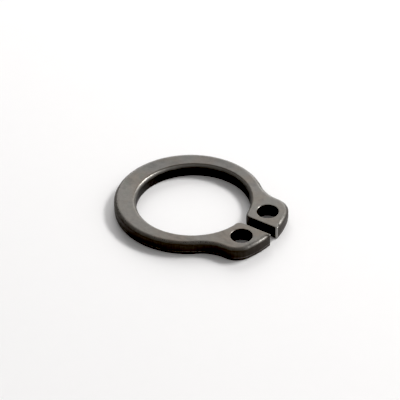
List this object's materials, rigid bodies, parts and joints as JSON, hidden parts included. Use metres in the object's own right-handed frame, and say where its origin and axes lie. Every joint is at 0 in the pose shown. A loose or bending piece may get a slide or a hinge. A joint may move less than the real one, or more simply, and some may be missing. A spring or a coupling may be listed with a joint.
{
  "type": "circlip retaining ring",
  "caption": "Flat open ring of spring steel whose section tapers to drilled lugs, spread with pliers to snap into a shaft's groove and hold parts along the shaft.",
  "frame": {"origin": "on the ring's axis, halfway through the sheet", "axes": "+Z along the ring's axis, towards the face with the rolled edges; +X from the axis to the gap between the lugs; the ring lies flat on its lower face at z = -0.5 mm"},
  "size_m": [0.013, 0.011, 0.001],
  "materials": {
    "spring_steel": "phosphated and oiled, dark grey, with burnished rims"
  },
  "bodies": {
    "root": {"retaining_ring": "spring_steel"}
  },
  "joints": []
}
